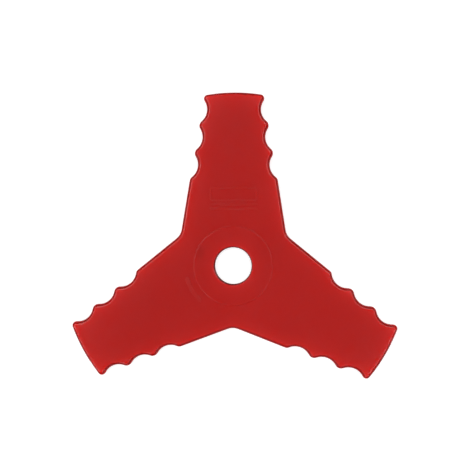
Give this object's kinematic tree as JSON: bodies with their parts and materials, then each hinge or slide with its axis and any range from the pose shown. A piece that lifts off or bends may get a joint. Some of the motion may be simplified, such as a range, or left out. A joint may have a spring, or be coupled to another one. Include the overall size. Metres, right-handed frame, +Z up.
{
  "type": "brush cutter blade",
  "caption": "Flat moulded plastic cutting blade with toothed, tapering arms round a hub with a clamping land and a round bore, for a brush cutter.",
  "frame": {"origin": "on the bore's axis, at the hub's lower clamping land", "axes": "+Z up along the bore, through the blade's thickness; +Y out along the arm that carries the raised marks"},
  "size_m": [0.2244, 0.1964, 0.0068],
  "materials": {
    "red_plastic": "satin moulded nylon, slightly translucent"
  },
  "bodies": {
    "root": {"blade": "red_plastic"}
  },
  "joints": []
}
